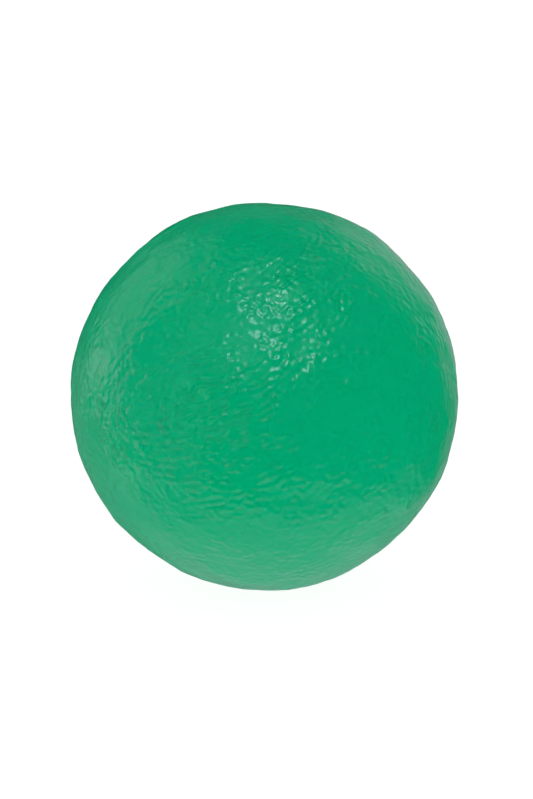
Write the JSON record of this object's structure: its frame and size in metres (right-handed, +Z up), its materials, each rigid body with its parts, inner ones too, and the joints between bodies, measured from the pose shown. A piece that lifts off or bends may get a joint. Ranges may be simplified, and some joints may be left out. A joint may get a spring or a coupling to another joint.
{
  "type": "stress ball",
  "caption": "Palm-size round squeeze ball: textured elastomer skin round a soft gel core, closed by a flush barbed plug at the back.",
  "frame": {"origin": "middle of the small flat that the ball rests on, at the bottom of the ball", "axes": "+Z up through the ball's centre; +Y along the filling port's axis, towards the plug at the back; -Y is the front; +X to the right seen from the front"},
  "size_m": [0.05, 0.05, 0.0496],
  "materials": {
    "green_skin": "satin, finely pebbled elastomer with a faint dusty bloom",
    "gel": "wet-looking soft gel",
    "green_plug": "satin elastomer with faint turned rings",
    "sealant": "glossy cured adhesive"
  },
  "bodies": {
    "ball": {"outer_skin": "green_skin", "gel_core": "gel"},
    "plug": {"fill_plug": "green_plug", "plug_sealant": "sealant"}
  },
  "joints": [
    {"name": "squeeze", "type": "slide", "parent": "ball", "child": "plug", "axis": [0, -1, 0], "range_m": [0, 0.02], "stiffness_N_per_m": 900, "deforming": ["outer_skin", "gel_core"]}
  ]
}
